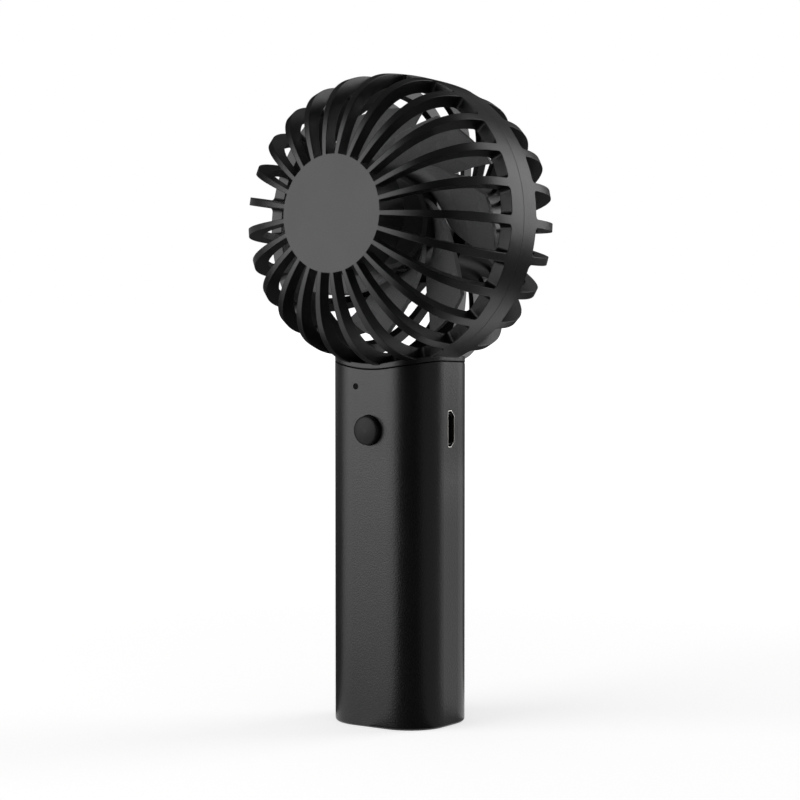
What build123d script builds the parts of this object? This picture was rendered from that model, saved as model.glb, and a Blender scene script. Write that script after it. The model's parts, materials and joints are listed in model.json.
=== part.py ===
from build123d import *

import os
from math import atan2, cos, degrees, radians, sin

# A handheld fan: a finned, ball-shaped head on a battery handle that stands on its flat base.
# Millimetres, +Z up. The origin is the middle of the base, on the surface the fan stands on.
# The head faces -Y and leans back by HEAD_PITCH. The charging socket is on the +X side.
# Heights grow from the base: cap, carrier floor, cell, board, neck, head. Reaches are measured
# along the fan's axis from the ring's plane, forwards, and grow from the rear cap.

# ---------------------------------------------------------------- clearances
SEAM = 0.05  # between mouldings that butt together
SLIDE_FIT = 0.15  # between a moulding and the one it slips into
MOTOR_FIT = 0.05  # motor can in its cup
CELL_FIT = 0.2  # battery in its carrier
BUTTON_GAP = 0.2  # round the button in its hole
SHAFT_FIT = 0.03  # shaft in bush
PRESS_GAP = 0.01  # pieces that are pressed together
TIP_GAP = 4.4  # blade tips to the inside of the fins
HUB_GAP = 2.0  # motor cup to the hub's back edge
BOARD_GAP = 0.45  # cell to the board's lower edge

# ---------------------------------------------------------------- driving sizes: fasteners and leads
SCREW_RADIUS = 0.8
SCREW_HEAD_RADIUS = 1.7
SCREW_HEAD_HEIGHT = 1.2
BASE_SCREW_LENGTH = 8.0
BOARD_SCREW_LENGTH = 5.0
SCREW_TIP_ROOM = 1.0  # left beyond a screw's tip in its pilot hole
LEAD_RADIUS = 0.5
LEAD_SPREAD = 0.55
LEAD_ANGLES = [61, 51, 41, 32, 24, 16]
LEAD_BENDS = [0.8, 3.0, 5.0, 12.0, 12.0, 12.0, 12.0, 1.6, 2.0]
LEAD_WALL_ROOM = 0.45  # between the black battery lead and the handle's back wall
LEAD_DIP = 0.85
RED_LEAD_X = -1.5
RED_LEAD_Y = 2.4
RED_LEAD_BEND = 1.2
RED_PAD_LIFT = 1.8
BLACK_TAB_X = 1.6
BLACK_LEAD_X = 4.5
BLACK_LEAD_Y = 2.5
BLACK_PAD_LIFT = 1.0
BLACK_LEAD_BENDS = [30.0, 30.0, 1.5, 6.0]

# ---------------------------------------------------------------- driving sizes: battery
CELL_RADIUS = 9.15
CELL_LENGTH = 65.0
CELL_EDGE = 0.6
CELL_GROOVE = 0.5
CELL_GROOVE_DROP = 2.8
CELL_GROOVE_HALF = 0.4
CELL_CAP_RADIUS = 4.0
CELL_CAP_HEIGHT = 0.5
TAB_THICKNESS = 0.15
TAB_WIDTH = 5.0
TAB_TOP_LENGTH = 7.5

# ---------------------------------------------------------------- driving sizes: handle
HANDLE_CORNER = 10.0
HANDLE_WALL = 1.8
HANDLE_TOP_CHAMFER = 0.3
RAIL_THICKNESS = 3.7  # of the carrier's rails, between the cell and the handle's sides
LEAD_SPACE = 2.05  # between the cell and the handle's front and back
BASE_EDGE_RADIUS = 0.7
BASE_REBATE = 0.9  # how far the base cap's flange is let into the wall
BASE_FLANGE = 1.2
BASE_THICKNESS = 2.2

# ---------------------------------------------------------------- driving sizes: carrier
CARRIER_FLOOR = 0.6
RAIL_SCREW_INSET = 1.95  # from the rail's outer face to the base screws
RAIL_DROP = 1.5  # rail tops below the cell's top
RAIL_LAP = 6.0  # how far the plate's legs run down the rails
RAIL_STEP = 1.15  # rails' inner faces, inside the cell's radius
PLATE_THICKNESS = 1.25
PLATE_INSET = 1.2
PLATE_LEG_INSET = 1.5
PLATE_LIFT = 1.4  # above the board's lower edge
PLATE_STEP = 1.0  # between the plate and the neck's lower edge
POST_RADIUS = 1.8
POST_INSET = 2.6
POST_DROPS = (3.1, 2.2)  # below the board's shoulder; the second clears the socket

# ---------------------------------------------------------------- driving sizes: board and controls
BOARD_THICKNESS = 1.2
BOARD_SIDE_ROOM = 0.45
SWITCH_SIZE = 6.0
SWITCH_DEPTH = 3.5
SWITCH_LIFT = 0.3
PLUNGER_RADIUS = 1.7
PLUNGER_PROUD = 0.9
PLUNGER_ROOM = 0.1
BUTTON_RADIUS = 3.5
BUTTON_PROUD = 2.0
BUTTON_TRAVEL = 0.5
BUTTON_DOME = 0.5
BUTTON_EDGE = 0.4
BUTTON_FLANGE = 0.9
BUTTON_FLANGE_RIM = 0.8
BUTTON_STEM_RADIUS = 1.5
LED_ABOVE_BUTTON = 10.4
LED_OFFSET = -3.9
LED_WIDTH = 1.6
LED_TALL = 0.8
LED_DEPTH = 0.8
LED_HOLE_RADIUS = 0.75
LED_TAB_HALF = 2.0
LED_TAB_REACH = 6.0  # the board's tab carries the motor leads' pads beside the light
SLOT_LENGTH = 8.85
SLOT_WIDTH = 2.9
SLOT_CHAMFER = 1.3
SLOT_FILLET = 0.6
SOCKET_LENGTH = 7.6
SOCKET_WIDTH = 2.5
SOCKET_CHAMFER = 0.9
SOCKET_REACH = 5.4
SOCKET_SHEET = 0.3
SOCKET_OVERHANG = 0.3
SOCKET_INSET = 0.4
TONGUE_THICKNESS = 0.6
TONGUE_BASE = 1.4
TONGUE_SETBACK = 1.0
TONGUE_SIDE_ROOM = 1.5
# Chips on the back of the board: across, above the board's edge, width, height, depth.
BOARD_CHIPS = [(-3.4, 5.4, 4.9, 3.9, 1.5), (-7.6, 2.8, 2.9, 1.6, 1.1), (3.6, 10.4, 3.2, 1.6, 1.2)]
INDUCTOR_PLACE = (3.2, 5.4)
INDUCTOR_SIZE = 4.6
INDUCTOR_CORNER = 1.0
INDUCTOR_DEPTH = 2.4

# ---------------------------------------------------------------- driving sizes: neck
NECK_WALL = 1.4
NECK_DROP = 2.3  # the plug's lower edge, below the indicator
NECK_DEPTH = 6.1  # the plug's lower edge, below the ball
NECK_TALL = 8.9  # high enough for the plug to reach up into the ball
NECK_BOSS_WEB = 5.9
NECK_SCREW_LIFT = 3.2
NECK_BOSS_RADIUS = 2.0
NECK_BOSS_DEPTH = 5.0
NECK_BOSS_INSET = 1.15
LEAD_PAD_DROP = 1.1
LEAD_ENTRY_REACH = -10.0  # where the motor leads drop into the neck

# ---------------------------------------------------------------- driving sizes: cage
HEAD_PITCH = 4.0
HEAD_RADIUS = 35.5
DOME_REACH = 28.85
DOME_POWER = 3
DISC_THICKNESS = 1.6
SKIRT_WALL = 1.4
SKIRT_DEPTH = 10.0
FIN_COUNT = 25
FIN_DEPTH = 3.1
FIN_WIDTH_AT_DISC = 1.25
FIN_WIDTH_AT_RING = 2.2
RING_FRONT = 5.1
RING_REAR = 5.6
SLOT_CORNER = 1.0
SADDLE_LIP = 0.8  # the saddle plate's outer face, outside the dome
SADDLE_SINK = 0.35  # the saddle plate's inner face, inside the dome
CUP_WALL = 1.75
CUP_FRONT_WALL = 1.6
CAP_FLANGE = 1.4
CAP_SKIRT = 1.1
CAP_TABS = 3
TROUGH_DEPTH = 2.5  # the channel for the motor leads, between the two lowest rear fins
WIRE_COVER = 0.9

# ---------------------------------------------------------------- driving sizes: impeller
BLADE_COUNT = 7
BLADE_THICKNESS = 1.1
HUB_RADIUS = 11.6
HUB_WALL = 1.3
HUB_LENGTH = 12.6
HUB_EDGE = 0.8
HUB_BOSS_RADIUS = 2.6
HUB_BOSS_SETBACK = 1.0
HUB_SHAFT_DROP = 3.0  # the shaft's end, behind the hub's front face
# The two edges of a blade, from the hub to the tip: share of the way out, angle, and reach ahead
# of the hub's middle. The rear edge hooks round the hub before it sweeps out.
BLADE_REAR_EDGE = [(-0.1, 52, 0.1), (0.04, 27, -0.1), (0.21, -4, -0.4), (0.57, -14.5, -1.3),
                   (1.1, -22.5, -2.9)]
BLADE_FRONT_EDGE = [(-0.1, 88, 4.9), (0.18, 62, 5.8), (0.42, 42.5, 6.2), (0.66, 27, 5.6),
                    (1.1, 9.5, 4.2)]

# ---------------------------------------------------------------- driving sizes: motor
MOTOR_RADIUS = 12.2
MOTOR_LENGTH = 12.3
MOTOR_WALL = 1.0
MOTOR_EDGE = 0.6
MOTOR_BOSS_RADIUS = 3.05
MOTOR_BOSS_HEIGHT = 1.3
MOTOR_BACK_BOSS = 0.9
MOTOR_BACK_BOSS_WALL = 1.2
MOTOR_WIRE_ROOM = 4.3  # behind the motor, inside the rear cap
MOTOR_SCREW_CIRCLE = 8.5
MOTOR_SCREW_REACH = 0.2
SHAFT_RADIUS = 1.0
SHAFT_SETBACK = 0.6
BUSH_RADIUS = 2.3
BELL_THICKNESS = 1.4
MAGNET_THICKNESS = 2.2
MAGNET_LENGTH = 8.0
MAGNET_SETBACK = 0.6  # from the can's front wall
MAGNET_ANGLE = 140.0
AIR_GAP = 0.5
CORE_LENGTH = 4.5
CORE_SETBACK = 1.6  # from the can's front wall
CORE_HUB_WALL = 1.6
POLE_COUNT = 3
POLE_WIDTH = 2.6
POLE_GAP = 2.2
POLE_SHOE = 1.3
COIL_OVERHANG = 0.9
COIL_WIDTH = 5.4
COIL_HUB_ROOM = 2.1
COIL_SHOE_ROOM = 0.7
COIL_GAP = 0.2
COMMUTATOR_RADIUS = 2.3
COMMUTATOR_LENGTH = 2.0
BRUSH_GAP = 0.15
BRUSH_WIDTH = 1.2
BRUSH_SETBACK = 0.3
BRUSH_LENGTH = 1.5
BRUSH_SPREAD = 6.0
TERMINAL_WIDTH = 1.8
TERMINAL_SHEET = 0.4
TERMINAL_ASIDE = 3.8
TERMINAL_LENGTH = 2.0

# ---------------------------------------------------------------- sizes that follow: handle
HANDLE_WIDTH = 2 * (CELL_RADIUS + CELL_FIT + RAIL_THICKNESS + SLIDE_FIT + HANDLE_WALL)
HANDLE_DEPTH = 2 * (CELL_RADIUS + LEAD_SPACE + HANDLE_WALL)
FRONT_INSIDE = -HANDLE_DEPTH / 2 + HANDLE_WALL
SIDE_INSIDE = HANDLE_WIDTH / 2 - HANDLE_WALL
NECK_INSET = HANDLE_WALL + SLIDE_FIT
NECK_INSIDE = HANDLE_WIDTH / 2 - NECK_INSET - NECK_WALL
SCREW_SEAT = SCREW_HEAD_HEIGHT + SLIDE_FIT
RAIL_X = SIDE_INSIDE - SLIDE_FIT - RAIL_SCREW_INSET
RAIL_INNER_X = CELL_RADIUS - RAIL_STEP
CARRIER_BOTTOM = BASE_THICKNESS + SEAM
CELL_BOTTOM = CARRIER_BOTTOM + CARRIER_FLOOR + TAB_THICKNESS
CELL_TOP = CELL_BOTTOM + CELL_LENGTH
RAIL_TOP = CELL_TOP - RAIL_DROP

# ---------------------------------------------------------------- sizes that follow: board
BOARD_BOTTOM = CELL_TOP + TAB_THICKNESS + BOARD_GAP
BOARD_BACK = -SOCKET_WIDTH / 2
BOARD_FRONT = BOARD_BACK - BOARD_THICKNESS
BOARD_HALF_WIDTH = NECK_INSIDE - BOARD_SIDE_ROOM
BUTTON_HEIGHT = BOARD_BOTTOM + SWITCH_SIZE / 2 + SWITCH_LIFT
SOCKET_HEIGHT = BOARD_BOTTOM + SOCKET_LENGTH / 2 - SOCKET_OVERHANG
LED_HEIGHT = BUTTON_HEIGHT + LED_ABOVE_BUTTON
BOARD_SHOULDER = LED_HEIGHT - LED_TAB_HALF
BOARD_TOP = LED_HEIGHT + LED_TAB_HALF
SWITCH_FACE = BOARD_FRONT - SWITCH_DEPTH
PLUNGER_TIP = SWITCH_FACE - PLUNGER_PROUD
POST_X = BOARD_HALF_WIDTH - POST_INSET
POST_PLACES = [(-POST_X, BOARD_SHOULDER - POST_DROPS[0]), (POST_X, BOARD_SHOULDER - POST_DROPS[1])]
PLATE_FRONT = NECK_BOSS_DEPTH + SEAM
PLATE_BACK = PLATE_FRONT + PLATE_THICKNESS

# ---------------------------------------------------------------- sizes that follow: neck and cage
NECK_BOTTOM = LED_HEIGHT - NECK_DROP
NECK_SCREW_HEIGHT = NECK_BOTTOM + NECK_SCREW_LIFT
NECK_SCREW_X = NECK_INSIDE - NECK_BOSS_INSET - NECK_BOSS_RADIUS
AXIS_HEIGHT = NECK_BOTTOM + NECK_DEPTH + HEAD_RADIUS
FIN_PITCH = 360 / FIN_COUNT
WIRE_ANGLE = -90 - FIN_PITCH / 4
CUP_RADIUS = MOTOR_RADIUS + MOTOR_FIT
DISC_RADIUS = CUP_RADIUS + CUP_WALL
DISC_REACH = DOME_REACH * (1 - (DISC_RADIUS / HEAD_RADIUS) ** DOME_POWER) ** (1 / DOME_POWER)
CAP_FRONT = CAP_FLANGE - DISC_REACH
CUP_BACK = CAP_FRONT + SEAM

# ---------------------------------------------------------------- sizes that follow: motor and impeller
MOTOR_BACK = CAP_FRONT + MOTOR_WIRE_ROOM
MOTOR_FRONT = MOTOR_BACK + MOTOR_LENGTH
CUP_FRONT = MOTOR_FRONT + CUP_FRONT_WALL
BUSH_LENGTH = MOTOR_WALL + MOTOR_BOSS_HEIGHT
CORE_FRONT = MOTOR_FRONT - MOTOR_WALL - CORE_SETBACK
CORE_RADIUS = MOTOR_RADIUS - MOTOR_WALL - MAGNET_THICKNESS - AIR_GAP
CORE_BACK = CORE_FRONT - CORE_LENGTH
COMMUTATOR_FRONT = CORE_BACK - COIL_OVERHANG - COIL_GAP
COMMUTATOR_BACK = COMMUTATOR_FRONT - COMMUTATOR_LENGTH
TERMINAL_BACK = MOTOR_BACK - TERMINAL_LENGTH
TERMINAL_PLACES = [(-BRUSH_SPREAD, TERMINAL_ASIDE), (BRUSH_SPREAD, -TERMINAL_ASIDE)]
SHAFT_BACK = MOTOR_BACK - MOTOR_BACK_BOSS + SHAFT_SETBACK / 2
HUB_BACK = CUP_FRONT + HUB_GAP
HUB_FRONT = HUB_BACK + HUB_LENGTH
HUB_MIDDLE = (HUB_BACK + HUB_FRONT) / 2
SHAFT_FRONT = HUB_FRONT - HUB_SHAFT_DROP
IMPELLER_RADIUS = HEAD_RADIUS - FIN_DEPTH - TIP_GAP

# ---------------------------------------------------------------- planes and axes
PITCH_SIN = sin(radians(HEAD_PITCH))
PITCH_COS = cos(radians(HEAD_PITCH))
HEAD_CENTRE = (0, 0, AXIS_HEIGHT)
FORWARD = (0, -PITCH_COS, PITCH_SIN)
HEAD = Plane(origin=HEAD_CENTRE, x_dir=(1, 0, 0), z_dir=FORWARD)
HEAD_SECTION = Plane(origin=HEAD_CENTRE, x_dir=(1, 0, 0), z_dir=(0, -PITCH_SIN, -PITCH_COS))
FAN_AXIS = Axis(HEAD_CENTRE, FORWARD)
FRONT_FACE = Plane(origin=(0, -HANDLE_DEPTH / 2, 0), x_dir=(1, 0, 0), z_dir=(0, -1, 0))
SIDE_FACE = Plane(origin=(HANDLE_WIDTH / 2, 0, 0), x_dir=(0, 1, 0), z_dir=(1, 0, 0))
SOCKET_MOUTH = Plane(
    origin=(HANDLE_WIDTH / 2 - SOCKET_INSET, 0, SOCKET_HEIGHT), x_dir=(0, 1, 0), z_dir=(1, 0, 0)
)

os.makedirs("parts", exist_ok=True)


def save(builder, name):
    """Label a finished piece and write it out."""
    builder.part.label = name
    export_step(builder.part, f"parts/{name}.step")


# ---------------------------------------------------------------- shared outlines
def dome_reach(radius, offset=0.0):
    """How far along the axis the dome lies at a radius; the dome can be offset outwards."""
    share = (radius / (HEAD_RADIUS + offset)) ** DOME_POWER
    return (DOME_REACH + offset) * (1 - share) ** (1 / DOME_POWER)


def dome_point(angle, offset=0.0):
    """A (radius, reach) point of the dome, seen at an angle above the ring's plane."""
    across = (cos(radians(angle)) / (HEAD_RADIUS + offset)) ** DOME_POWER
    along = (sin(radians(angle)) / (DOME_REACH + offset)) ** DOME_POWER
    length = (across + along) ** (-1 / DOME_POWER)
    return (length * cos(radians(angle)), length * sin(radians(angle)))


def dome_curve(offset, inner_radius, steps=6):
    """Points of the dome from the ring's plane in to a radius."""
    last = degrees(atan2(dome_reach(inner_radius, offset), inner_radius)) if inner_radius else 90.0
    return [dome_point(last * step / steps, offset) for step in range(steps + 1)]


def head_outline(*points):
    """A closed straight-sided outline of (radius, reach) points beside the fan's axis."""
    with BuildSketch(HEAD_SECTION) as sketch:
        with BuildLine():
            Polyline(*points, close=True)
        make_face()
    return sketch.sketch


def handle_outline(inset, height=0.0):
    """The handle's rounded outline, taken in by an inset, at a height."""
    with BuildSketch(Plane.XY.offset(height)) as sketch:
        RectangleRounded(
            HANDLE_WIDTH - 2 * inset, HANDLE_DEPTH - 2 * inset, HANDLE_CORNER - inset
        )
    return sketch.sketch


def dome_solid(offset):
    """The whole head's outer form as a solid, offset outwards."""
    curve = dome_curve(offset, 0)
    with BuildPart() as solid:
        with BuildSketch(HEAD_SECTION):
            with BuildLine():
                Spline(*curve, tangents=[(0, 1), (-1, 0)])
                Spline(*[(r, -u) for r, u in curve], tangents=[(0, -1), (-1, 0)])
                Line((0, -curve[-1][1]), (0, curve[-1][1]))
            make_face()
        revolve(axis=FAN_AXIS)
    return solid.part


def cage_outline(side, centre_points):
    """Section of one half of the cage: the finned dome and what lies in the middle of it.

    side is 1 for the front half and -1 for the rear one.
    """
    outer = [(r, side * u) for r, u in dome_curve(0, DISC_RADIUS)]
    inner = [(r, side * u) for r, u in dome_curve(-FIN_DEPTH, DISC_RADIUS)]
    with BuildSketch(HEAD_SECTION) as sketch:
        with BuildLine():
            Spline(*outer)
            Polyline(outer[-1], *centre_points, inner[-1])
            Spline(*inner)
            Line(inner[0], outer[0])
        make_face()
    return sketch.sketch


def slot_cutter(side, ring_edge, gap=0.0):
    """One slot between two fins, as a block with rounded corners at the ring.

    It lies along the head's own x, and is wider the further it is from the axis.
    A gap makes it that much narrower on each side, for what goes into the slot.
    """
    half_pitch = radians(FIN_PITCH / 2)
    near = DISC_RADIUS * cos(half_pitch) - SKIRT_WALL / 2
    far = HEAD_RADIUS * 1.1
    near_half = DISC_RADIUS * sin(half_pitch) - FIN_WIDTH_AT_DISC / 2 - gap
    far_half = far * sin(half_pitch) - FIN_WIDTH_AT_RING / 2 - gap
    with BuildPart() as cutter:
        with BuildSketch(Plane.XY.offset(side * ring_edge)):
            with BuildLine():
                Polyline(
                    (near, -near_half), (far, -far_half), (far, far_half), (near, near_half),
                    close=True,
                )
            make_face()
            Circle(DISC_RADIUS + gap, mode=Mode.SUBTRACT)
        extrude(amount=side * DOME_REACH)
        ring_face = cutter.faces().sort_by(Axis.Z)[0 if side > 0 else -1]
        fillet(ring_face.edges().sort_by(SortBy.LENGTH)[-2:], SLOT_CORNER)
    return cutter.part


def neck_screw_places():
    """Where the two neck screws stand, across the handle and up it."""
    return Locations((-NECK_SCREW_X, NECK_SCREW_HEIGHT), (NECK_SCREW_X, NECK_SCREW_HEIGHT))


def saddle(side):
    """The curved plate that the fins stand on, with the neck that plugs into the handle.

    side is 1 for the front half and -1 for the rear one; they meet in the ring's plane.
    """
    with BuildPart() as neck:
        extrude(handle_outline(NECK_INSET, NECK_BOTTOM), amount=NECK_TALL)
        extrude(
            handle_outline(NECK_INSET + NECK_WALL, NECK_BOTTOM),
            amount=HEAD_RADIUS,
            mode=Mode.SUBTRACT,
        )
        with BuildSketch(Plane.XZ):
            with neck_screw_places():
                Circle(NECK_BOSS_RADIUS)
                Rectangle(NECK_BOSS_RADIUS, NECK_BOSS_WEB, align=(Align.CENTER, Align.MIN))
        extrude(amount=NECK_BOSS_DEPTH, both=True)
        with BuildSketch(Plane.XZ):
            with neck_screw_places():
                Circle(SCREW_RADIUS + PRESS_GAP)
        extrude(amount=NECK_BOSS_DEPTH, both=True, mode=Mode.SUBTRACT)
    with BuildPart() as piece:
        extrude(handle_outline(0, NECK_BOTTOM), amount=HEAD_RADIUS)
        add(DOME_LIP, mode=Mode.INTERSECT)
        add(neck.part)
        add(DOME_FLOOR, mode=Mode.SUBTRACT)
        with Locations(HEAD.location):
            Box(
                HANDLE_WIDTH * 2, HEAD_RADIUS * 3, HANDLE_DEPTH * 2,
                align=(Align.CENTER, Align.CENTER, Align.MIN if side > 0 else Align.MAX),
                mode=Mode.INTERSECT,
            )
    return piece.part


def cap_radius(half_width, rise):
    """Radius of the ball that a shallow round cap is cut from."""
    return (half_width**2 + rise**2) / (2 * rise)


def screw(length):
    """A small pan-head screw along -Z, its head standing on the XY plane."""
    with BuildPart() as piece:
        with BuildSketch(Plane.XZ):
            with BuildLine():
                Polyline(
                    (0, -length), (SCREW_RADIUS, -length), (SCREW_RADIUS, 0),
                    (SCREW_HEAD_RADIUS, 0), (SCREW_HEAD_RADIUS, SCREW_HEAD_HEIGHT / 2),
                )
                RadiusArc(
                    (SCREW_HEAD_RADIUS, SCREW_HEAD_HEIGHT / 2), (0, SCREW_HEAD_HEIGHT),
                    -cap_radius(SCREW_HEAD_RADIUS, SCREW_HEAD_HEIGHT / 2),
                )
                Line((0, SCREW_HEAD_HEIGHT), (0, -length))
            make_face()
        revolve(axis=Axis.Z)
    return piece.part


def lead(points, radii):
    """A round insulated lead along straight runs joined by arcs."""
    with BuildPart() as piece:
        with BuildLine() as path:
            FilletPolyline(*points, radius=radii)
        with BuildSketch(Plane(origin=path.line @ 0, z_dir=path.line % 0)):
            Circle(LEAD_RADIUS)
        sweep()
    return piece.part


def wire_place(radius, aside, reach):
    """A point beside the middle of the wire channel."""
    along = Vector(radius, aside, reach).rotate(Axis.Z, WIRE_ANGLE)
    return HEAD.from_local_coords(along)


def blade_edge(places):
    """A curve through a blade edge's places, in the head's own frame."""
    points = []
    for share, angle, ahead in places:
        radius = HUB_RADIUS + share * (IMPELLER_RADIUS - HUB_RADIUS)
        across = radius * cos(radians(angle))
        up = radius * sin(radians(angle))
        points.append((across, up, HUB_MIDDLE + ahead))
    return Edge.make_spline(points)


def blade():
    """One forward-swept blade: a sheet between its two edges, trimmed to the hub and the tip."""
    sheet = Face.make_surface_from_curves(blade_edge(BLADE_REAR_EDGE), blade_edge(BLADE_FRONT_EDGE))
    with BuildPart() as piece:
        thicken(sheet, amount=BLADE_THICKNESS / 2, both=True)
        with BuildSketch(Plane.XY.offset(HUB_BACK)):
            Circle(IMPELLER_RADIUS)
            Circle(HUB_RADIUS - HUB_WALL / 2, mode=Mode.SUBTRACT)
        extrude(amount=DOME_REACH, mode=Mode.INTERSECT)
    return piece.part


def socket_outline(inset, depth=0.0):
    """The socket's mouth: square corners towards the board, cut corners away from it."""
    with BuildSketch(SOCKET_MOUTH.offset(-depth)) as sketch:
        Rectangle(SOCKET_WIDTH - 2 * inset, SOCKET_LENGTH - 2 * inset)
        chamfer(sketch.vertices().group_by(Axis.X)[-1], SOCKET_CHAMFER - inset)
    return sketch.sketch


LEAD_ENTRY = wire_place(HEAD_RADIUS, 0, LEAD_ENTRY_REACH)
DOME_LIP = dome_solid(SADDLE_LIP)
DOME_CUT = dome_solid(SADDLE_LIP + SEAM)
DOME_FLOOR = dome_solid(-SADDLE_SINK)

# ---------------------------------------------------------------- handle: shell and base cap
with BuildPart() as handle_shell:
    extrude(handle_outline(0), amount=AXIS_HEIGHT - HEAD_RADIUS / 2)
    fillet(handle_shell.faces().sort_by(Axis.Z)[0].edges(), BASE_EDGE_RADIUS)
    add(DOME_CUT, mode=Mode.SUBTRACT)
    chamfer(handle_shell.faces().sort_by(Axis.Z)[-1].edges(), HANDLE_TOP_CHAMFER)
    extrude(handle_outline(HANDLE_WALL), amount=AXIS_HEIGHT, mode=Mode.SUBTRACT)
    extrude(handle_outline(BASE_REBATE), amount=BASE_FLANGE, mode=Mode.SUBTRACT)
    with BuildSketch(FRONT_FACE):
        with Locations((0, BUTTON_HEIGHT)):
            Circle(BUTTON_RADIUS + BUTTON_GAP)
        with Locations((LED_OFFSET, LED_HEIGHT)):
            Circle(LED_HOLE_RADIUS)
    extrude(amount=-HANDLE_WALL - SEAM, mode=Mode.SUBTRACT)
    with BuildSketch(SIDE_FACE) as port:
        with Locations((0, SOCKET_HEIGHT)):
            Rectangle(SLOT_WIDTH, SLOT_LENGTH)
        chamfer(port.vertices().group_by(Axis.X)[-1], SLOT_CHAMFER)
        fillet(port.vertices().group_by(Axis.X)[0], SLOT_FILLET)
    extrude(amount=-HANDLE_WALL - SEAM, mode=Mode.SUBTRACT)
save(handle_shell, "handle_shell")

with BuildPart() as base_cap:
    extrude(handle_outline(BASE_REBATE + SLIDE_FIT), amount=BASE_FLANGE - SEAM)
    extrude(handle_outline(HANDLE_WALL + SLIDE_FIT), amount=BASE_THICKNESS)
    with BuildSketch():
        with Locations((-RAIL_X, 0), (RAIL_X, 0)):
            Circle(SCREW_HEAD_RADIUS + SLIDE_FIT)
    extrude(amount=SCREW_SEAT, mode=Mode.SUBTRACT)
    with BuildSketch():
        with Locations((-RAIL_X, 0), (RAIL_X, 0)):
            Circle(SCREW_RADIUS + SLIDE_FIT)
    extrude(amount=BASE_THICKNESS, mode=Mode.SUBTRACT)
save(base_cap, "base_cap")

# ---------------------------------------------------------------- head: the two cage halves
with BuildPart() as front_grille:
    skirt_back = DISC_REACH - SKIRT_DEPTH
    skirt_inner = DISC_RADIUS - SKIRT_WALL
    disc_back = DISC_REACH - DISC_THICKNESS
    disc_and_skirt = [
        (0, DISC_REACH), (0, disc_back), (skirt_inner, disc_back),
        (skirt_inner, skirt_back), (DISC_RADIUS, skirt_back),
    ]
    revolve(cage_outline(1, disc_and_skirt), axis=FAN_AXIS)
    with Locations(HEAD.location):
        with PolarLocations(0, FIN_COUNT, start_angle=FIN_PITCH / 2):
            add(slot_cutter(1, RING_FRONT), mode=Mode.SUBTRACT)
    add(saddle(1))
    with BuildSketch(FRONT_FACE.offset(-HANDLE_WALL)):
        with Locations((LED_OFFSET, LED_HEIGHT)):
            Circle(LED_HOLE_RADIUS + BUTTON_GAP)
    extrude(amount=-NECK_WALL - 2 * SLIDE_FIT, mode=Mode.SUBTRACT)
save(front_grille, "front_grille")

with BuildPart() as wire_trough:
    with Locations(HEAD.location):
        with PolarLocations(0, 1, start_angle=WIRE_ANGLE):
            add(slot_cutter(-1, RING_REAR))
    add(dome_solid(-TROUGH_DEPTH), mode=Mode.SUBTRACT)

with BuildPart() as rear_saddle:
    add(saddle(-1))
    with BuildSketch(Plane.XY.offset(NECK_BOTTOM)):
        with Locations((LEAD_ENTRY.X, LEAD_ENTRY.Y)):
            RectangleRounded(2 * LEAD_SPREAD + 3.2 * LEAD_RADIUS, 4 * LEAD_RADIUS, LEAD_RADIUS)
    extrude(amount=NECK_TALL, mode=Mode.SUBTRACT)

with BuildPart() as rear_grille:
    motor_cup = [
        (DISC_RADIUS, CUP_BACK), (CUP_RADIUS, CUP_BACK), (CUP_RADIUS, MOTOR_FRONT),
        (MOTOR_BOSS_RADIUS + SLIDE_FIT, MOTOR_FRONT), (MOTOR_BOSS_RADIUS + SLIDE_FIT, CUP_FRONT),
        (DISC_RADIUS, CUP_FRONT),
    ]
    revolve(cage_outline(-1, motor_cup), axis=FAN_AXIS)
    with Locations(HEAD.location):
        open_slots = FIN_COUNT - 1
        with PolarLocations(
            0, open_slots, start_angle=WIRE_ANGLE + FIN_PITCH, angular_range=360 - FIN_PITCH
        ):
            add(slot_cutter(-1, RING_REAR), mode=Mode.SUBTRACT)
    add(wire_trough.part, mode=Mode.SUBTRACT)
    add(rear_saddle.part)
    with BuildSketch(HEAD.offset(MOTOR_FRONT)):
        with PolarLocations(MOTOR_SCREW_CIRCLE, 2):
            Circle(SCREW_RADIUS + SLIDE_FIT)
    extrude(amount=CUP_FRONT_WALL, mode=Mode.SUBTRACT)
    cup_middle = wire_place(DISC_RADIUS - CUP_WALL / 2, 0, CUP_BACK)
    outwards = wire_place(1, 0, 0) - HEAD_CENTRE
    with Locations(Plane(origin=cup_middle, x_dir=FORWARD, z_dir=outwards)):
        Box(6 * LEAD_RADIUS, 4 * LEAD_RADIUS + 2 * SLIDE_FIT, 2 * CUP_WALL, mode=Mode.SUBTRACT)
save(rear_grille, "rear_grille")

with BuildPart() as rear_cap:
    flange_outline = [
        (0, -DISC_REACH), (DISC_RADIUS - 2 * SEAM, -DISC_REACH),
        (DISC_RADIUS - 2 * SEAM, CAP_FRONT), (0, CAP_FRONT),
    ]
    revolve(head_outline(*flange_outline), axis=FAN_AXIS)
    with BuildSketch(HEAD.offset(CAP_FRONT)):
        Circle(CUP_RADIUS - SLIDE_FIT)
        Circle(CUP_RADIUS - SLIDE_FIT - CAP_SKIRT, mode=Mode.SUBTRACT)
        with PolarLocations(CUP_RADIUS, CAP_TABS, start_angle=90 / CAP_TABS):
            Rectangle(CUP_RADIUS, CUP_RADIUS, mode=Mode.SUBTRACT)
    extrude(amount=CAP_FLANGE)
save(rear_cap, "rear_cap")

with BuildPart() as wire_cover:
    with Locations(HEAD.location):
        with PolarLocations(0, 1, start_angle=WIRE_ANGLE):
            add(slot_cutter(-1, RING_REAR, SEAM))
    extrude(handle_outline(-SEAM), amount=AXIS_HEIGHT, mode=Mode.SUBTRACT)
    add(dome_solid(-WIRE_COVER), mode=Mode.SUBTRACT)
    add(dome_solid(0), mode=Mode.INTERSECT)
save(wire_cover, "wire_cover")

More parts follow.
